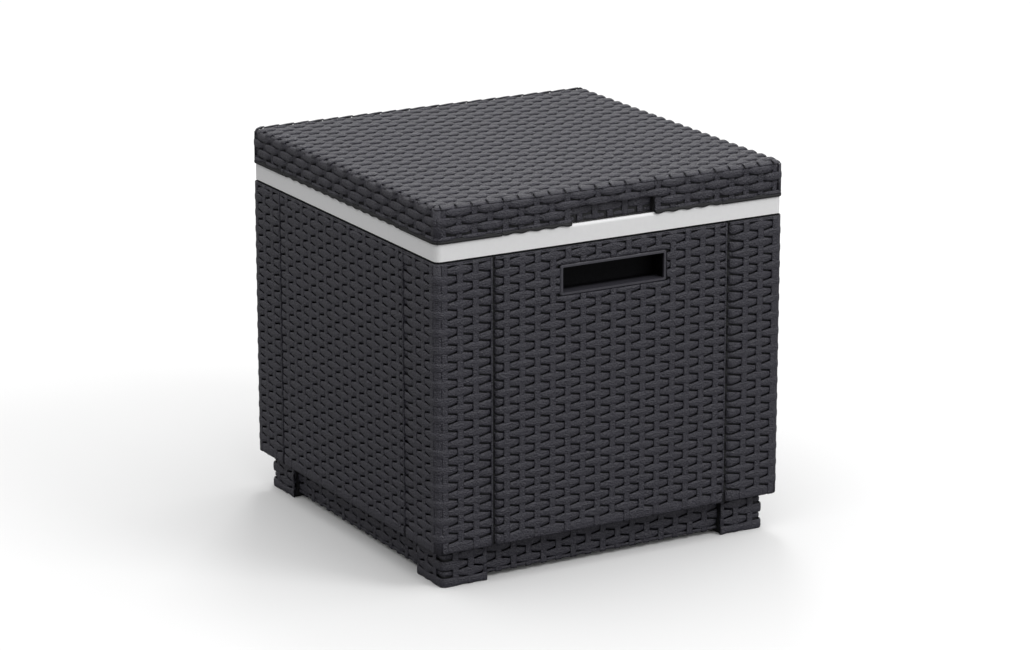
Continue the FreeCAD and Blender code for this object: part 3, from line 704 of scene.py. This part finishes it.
def new_material(name):
    material = bpy.data.materials.new(name)
    material.use_nodes = True
    nodes = material.node_tree.nodes
    return material, nodes, material.node_tree.links, nodes["Principled BSDF"]


def feed(links, value, socket):
    """Gives a socket a plain value, or the output of another node."""
    if isinstance(value, bpy.types.NodeSocket):
        links.new(value, socket)
    else:
        socket.default_value = value


def calculate(nodes, links, operation, *values):
    node = nodes.new("ShaderNodeMath")
    node.operation = operation
    for value, socket in zip(values, node.inputs):
        feed(links, value, socket)
    return node.outputs["Value"]


def map_range(nodes, links, value, span, result=(0.0, 1.0)):
    """Maps a span of values to a range of results."""
    node = nodes.new("ShaderNodeMapRange")
    node.inputs["From Min"].default_value = span[0]
    node.inputs["From Max"].default_value = span[1]
    node.inputs["To Min"].default_value = result[0]
    node.inputs["To Max"].default_value = result[1]
    links.new(value, node.inputs["Value"])
    return node.outputs["Result"]


def mix_colours(nodes, links, share, first, second):
    """First colour where the share is 0, second where it is 1."""
    node = nodes.new("ShaderNodeMix")
    node.data_type = "RGBA"
    links.new(share, node.inputs["Factor"])
    feed(links, first, node.inputs["A"])
    feed(links, second, node.inputs["B"])
    return node.outputs["Result"]


def blend_colours(nodes, links, noise, low, high):
    """Colour between two linear values."""
    ramp = nodes.new("ShaderNodeValToRGB")
    for stop, position, colour in zip(ramp.color_ramp.elements, NOISE_SPAN, (low, high)):
        stop.position = position
        stop.color = (*colour, 1)
    links.new(noise, ramp.inputs["Fac"])
    return ramp.outputs["Color"]


def streaks(nodes, links, scale):
    """Noise drawn out along each strand."""
    strand = nodes.new("ShaderNodeAttribute")
    strand.attribute_name = "strand"
    stretch = nodes.new("ShaderNodeMapping")
    stretch.inputs["Scale"].default_value = scale
    links.new(strand.outputs["Vector"], stretch.inputs["Vector"])
    noise = nodes.new("ShaderNodeTexNoise")
    noise.inputs["Scale"].default_value = 1.0
    noise.inputs["Detail"].default_value = 4.0
    links.new(stretch.outputs["Vector"], noise.inputs["Vector"])
    return noise.outputs["Fac"]


def grain(nodes, links, scale, detail=4.0):
    """Noise in the object's own space."""
    place = nodes.new("ShaderNodeTexCoord")
    noise = nodes.new("ShaderNodeTexNoise")
    noise.inputs["Scale"].default_value = scale
    noise.inputs["Detail"].default_value = detail
    links.new(place.outputs["Object"], noise.inputs["Vector"])
    return noise.outputs["Fac"]


def bump(nodes, links, height, distance, under=None):
    """Relief of this many millimetres, which may lie on top of another."""
    node = nodes.new("ShaderNodeBump")
    node.inputs["Distance"].default_value = distance * MM
    links.new(height, node.inputs["Height"])
    if under is not None:
        links.new(under, node.inputs["Normal"])
    return node.outputs["Normal"]


def woven_plastic():
    """Dark plastic, streaked along each strand and finely speckled."""
    material, nodes, links, shader = new_material("woven_plastic_strands")
    fine = streaks(nodes, links, (0.09, 1.1, 1.0))
    colour = blend_colours(nodes, links, fine, (0.0235, 0.0227, 0.031), (0.041, 0.0394, 0.053))
    links.new(colour, shader.inputs["Base Color"])
    links.new(map_range(nodes, links, fine, NOISE_SPAN, (0.3, 0.44)), shader.inputs["Roughness"])
    speckle = grain(nodes, links, 650.0, 2.0)
    links.new(bump(nodes, links, fine, 0.4, bump(nodes, links, speckle, 1.8)), shader.inputs["Normal"])
    return material


def near_black_painted_shade():
    """Near black behind the strands: painted shade in the gaps of the weave and along the lid's lower
    edge.
    """
    material, nodes, links, shader = new_material("woven_plastic_backing_painted_shade")
    cloud = grain(nodes, links, 90.0)
    colour = blend_colours(nodes, links, cloud, (0.004, 0.004, 0.005), (0.008, 0.008, 0.0095))
    links.new(colour, shader.inputs["Base Color"])
    links.new(map_range(nodes, links, cloud, NOISE_SPAN, (0.6, 0.75)), shader.inputs["Roughness"])
    return material


def plain_plastic(name, low, high, roughness):
    """Plastic or rubber with a faint grain."""
    material, nodes, links, shader = new_material(name)
    cloud = grain(nodes, links, 220.0)
    links.new(blend_colours(nodes, links, cloud, low, high), shader.inputs["Base Color"])
    links.new(map_range(nodes, links, cloud, NOISE_SPAN, roughness), shader.inputs["Roughness"])
    links.new(bump(nodes, links, cloud, 0.03), shader.inputs["Normal"])
    return material


def grip_plastic_painted_shade():
    """Frame and the front of the cup's floor as the woven plastic; the rest of the cup near black with
    little reflection as painted shade, the floor darkening into it.
    """
    material, nodes, links, shader = new_material("grip_plastic_painted_shade")
    cloud = grain(nodes, links, 220.0)
    place = nodes.new("ShaderNodeTexCoord")
    split = nodes.new("ShaderNodeSeparateXYZ")
    links.new(place.outputs["Object"], split.inputs["Vector"])
    reach = calculate(nodes, links, "ABSOLUTE", split.outputs["Y"])
    on_frame = map_range(nodes, links, reach, np.multiply(GRIP_FRAME_SPAN, MM))
    in_front = map_range(nodes, links, reach, np.multiply(SILL_PAINTED_SHADE_SPAN, MM))
    on_floor = map_range(nodes, links, split.outputs["Z"], np.multiply(SILL_HEIGHT_SPAN, MM), (1.0, 0.0))
    sill = calculate(nodes, links, "MULTIPLY", in_front, on_floor)
    out_of_painted_shade = calculate(nodes, links, "MAXIMUM", on_frame, sill)
    # painted shade: the cup near black, fading in over the floor deeper in
    cup = blend_colours(nodes, links, cloud, (0.002, 0.002, 0.0026), (0.0034, 0.0034, 0.0042))
    rest = blend_colours(nodes, links, cloud, (0.042, 0.041, 0.051), (0.052, 0.05, 0.062))
    links.new(mix_colours(nodes, links, out_of_painted_shade, cup, rest), shader.inputs["Base Color"])
    # reflection turned down where the shade is painted
    shine = map_range(nodes, links, out_of_painted_shade, (0.0, 1.0), (0.08, 0.5))
    links.new(shine, shader.inputs["Specular IOR Level"])
    links.new(map_range(nodes, links, cloud, NOISE_SPAN, (0.4, 0.5)), shader.inputs["Roughness"])
    links.new(bump(nodes, links, cloud, 0.03), shader.inputs["Normal"])
    return material


def steel():
    """Zinc-plated screws."""
    material, nodes, links, shader = new_material("zinc_steel")
    cloud = grain(nodes, links, 700.0)
    shader.inputs["Metallic"].default_value = 1.0
    colour = blend_colours(nodes, links, cloud, (0.42, 0.42, 0.43), (0.6, 0.6, 0.62))
    links.new(colour, shader.inputs["Base Color"])
    links.new(map_range(nodes, links, cloud, NOISE_SPAN, (0.3, 0.45)), shader.inputs["Roughness"])
    return material


def foam():
    """Pressed beads."""
    material, nodes, links, shader = new_material("bead_foam")
    place = nodes.new("ShaderNodeTexCoord")
    beads = nodes.new("ShaderNodeTexVoronoi")
    beads.inputs["Scale"].default_value = 260.0
    links.new(place.outputs["Object"], beads.inputs["Vector"])
    distance = beads.outputs["Distance"]
    colour = blend_colours(nodes, links, distance, (0.8, 0.8, 0.78), (0.62, 0.62, 0.6))
    links.new(colour, shader.inputs["Base Color"])
    links.new(bump(nodes, links, distance, 0.4), shader.inputs["Normal"])
    shader.inputs["Roughness"].default_value = 0.8
    return material


def paint_cad(materials):
    """Each CAD node takes the material of its slot in the record."""
    for part in frame["record"]["subparts"]:
        mesh = frame["nodes"][part["node"]].data
        mesh.materials.clear()
        mesh.materials.append(materials[part["material_slot"]])


def build_object():
    strands = woven_plastic()
    # backing: painted shade, near black on the woven CAD nodes, the cores behind the strands and the
    # lid's lower edge
    backing = near_black_painted_shade()
    white = plain_plastic("white_plastic", (0.78, 0.78, 0.785), (0.8, 0.8, 0.805), (0.32, 0.42))
    drain = plain_plastic("drain_plastic", (0.34, 0.34, 0.35), (0.4, 0.4, 0.41), (0.4, 0.5))
    rubber = plain_plastic("seal_rubber", (0.05, 0.05, 0.052), (0.075, 0.075, 0.078), (0.6, 0.75))
    paint_cad({
        "woven_plastic": backing,
        "dark_plastic": grip_plastic_painted_shade(),
        "white_plastic": white,
        "drain_plastic": drain,
        "seal_rubber": rubber,
        "foam": foam(),
        "screw_steel": steel(),
    })
    for quarters in range(4):
        woven_panel(quarters, strands)
        woven_post(quarters, strands)
        woven_foot(quarters, strands)
        core("panel_" + QUARTER_NAMES[quarters], "cabinet", HALF, CORNER_R, WALL_Z0, WALL_Z1, backing)
        core("post_" + CORNER_NAMES[quarters], "cabinet", HALF, CORNER_R, WALL_Z0, WALL_Z1, backing)
        core("foot_" + CORNER_NAMES[quarters], "cabinet", FOOT_FACE, PLINTH_R, 0.0, WALL_Z0, backing)
    woven_skirts(strands)
    core("base_plinth", "cabinet", SKIRT_FACE, PLINTH_R, SKIRT_Z0 + SCALLOP, WALL_Z0, backing)
    rim_lip(white)
    woven_lid_sides(strands, backing)
    woven_table_top(strands)
    core("lid_shell", "lid", HALF, CORNER_R, LID_BOTTOM + SCALLOP, LID_TOP - BACKING, backing)


# Stage, in metres and watts
FLOOR_REACH = 30.0
FLOOR_DROP = 0.0002      # below the feet, so that no two faces coincide
FLOOR_WHITE = 0.8        # what the camera sees
FLOOR_GREY = 0.16        # what throws light back on the object
HORIZON_LIGHT = 0.6
ZENITH_LIGHT = 1.0       # added to it straight above
Lamp = namedtuple("Lamp", "name location target size watts")
LAMPS = (
    Lamp("front_right", (1.46, -2.34, 2.4), (0, 0, 0.25), 1.2, 33),
    Lamp("front_low", (0.7, -3.4, 0.95), (0, 0, 0.2), 1.0, 10),
    Lamp("rear_high", (1.3, 2.3, 3.0), (0, 0, 0.4), 0.8, 24),
)

# Camera fitted to the photo, in metres and degrees
CAMERA_PLACE = (-1.9761, -3.4589, 1.3412)
CAMERA_DOWN = 15.899
CAMERA_RIGHT = 29.769
CAMERA_LENS = 133.27
CAMERA_SENSOR = 36.0
CAMERA_RANGE = 100.0


def area_light(lamp):
    """Square lamp that faces its target."""
    data = bpy.data.lights.new(lamp.name, "AREA")
    data.shape = "SQUARE"
    data.size = lamp.size
    data.energy = lamp.watts
    light = bpy.data.objects.new(lamp.name, data)
    bpy.context.scene.collection.objects.link(light)
    light.location = lamp.location
    x, y, z = np.array(lamp.target) - np.array(lamp.location)
    light.rotation_euler = (math.atan2(math.hypot(x, y), -z), 0, math.atan2(-x, y))


def build_stage():
    """White floor, a dome of light and three soft lamps."""
    build_floor()
    build_dome()
    for lamp in LAMPS:
        area_light(lamp)


def build_floor():
    data = bpy.data.meshes.new("floor")
    corners = [(-1, -1), (1, -1), (1, 1), (-1, 1)]
    data.from_pydata([(FLOOR_REACH * x, FLOOR_REACH * y, 0) for x, y in corners], [], [(0, 1, 2, 3)])
    floor = bpy.data.objects.new("floor", data)
    bpy.context.scene.collection.objects.link(floor)
    floor.location.z = -FLOOR_DROP
    data.materials.append(floor_material())


def floor_material():
    """White to the camera, grey to the light that it throws back on the object."""
    material, nodes, links, shader = new_material("floor")
    shader.inputs["Roughness"].default_value = 0.9
    shader.inputs["Specular IOR Level"].default_value = 0.0
    path = nodes.new("ShaderNodeLightPath")
    grey = (FLOOR_GREY, FLOOR_GREY, FLOOR_GREY, 1)
    white = (FLOOR_WHITE, FLOOR_WHITE, FLOOR_WHITE, 1)
    colour = mix_colours(nodes, links, path.outputs["Is Camera Ray"], grey, white)
    links.new(colour, shader.inputs["Base Color"])
    return material


def build_dome():
    """Light from the whole sky, strongest straight above."""
    world = bpy.data.worlds.new("studio")
    bpy.context.scene.world = world
    world.use_nodes = True
    nodes = world.node_tree.nodes
    links = world.node_tree.links
    place = nodes.new("ShaderNodeTexCoord")
    split = nodes.new("ShaderNodeSeparateXYZ")
    links.new(place.outputs["Generated"], split.inputs["Vector"])
    height = calculate(nodes, links, "MAXIMUM", split.outputs["Z"], 0.0)
    square = calculate(nodes, links, "POWER", height, 2.0)
    strength = calculate(nodes, links, "MULTIPLY_ADD", square, ZENITH_LIGHT, HORIZON_LIGHT)
    links.new(strength, nodes["Background"].inputs["Strength"])
    nodes["Background"].inputs["Color"].default_value = (1, 1, 1, 1)


def build_camera():
    """Long lens, from the front left and above."""
    data = bpy.data.cameras.new("camera")
    data.sensor_fit = "HORIZONTAL"
    data.sensor_width = CAMERA_SENSOR
    data.lens = CAMERA_LENS
    data.clip_end = CAMERA_RANGE
    camera = bpy.data.objects.new("camera", data)
    bpy.context.scene.collection.objects.link(camera)
    camera.location = CAMERA_PLACE
    camera.rotation_euler = (math.radians(90 - CAMERA_DOWN), 0, math.radians(-CAMERA_RIGHT))
    bpy.context.scene.camera = camera


build_object()
build_stage()
build_camera()
bpy.context.scene.view_settings.view_transform = "Standard"
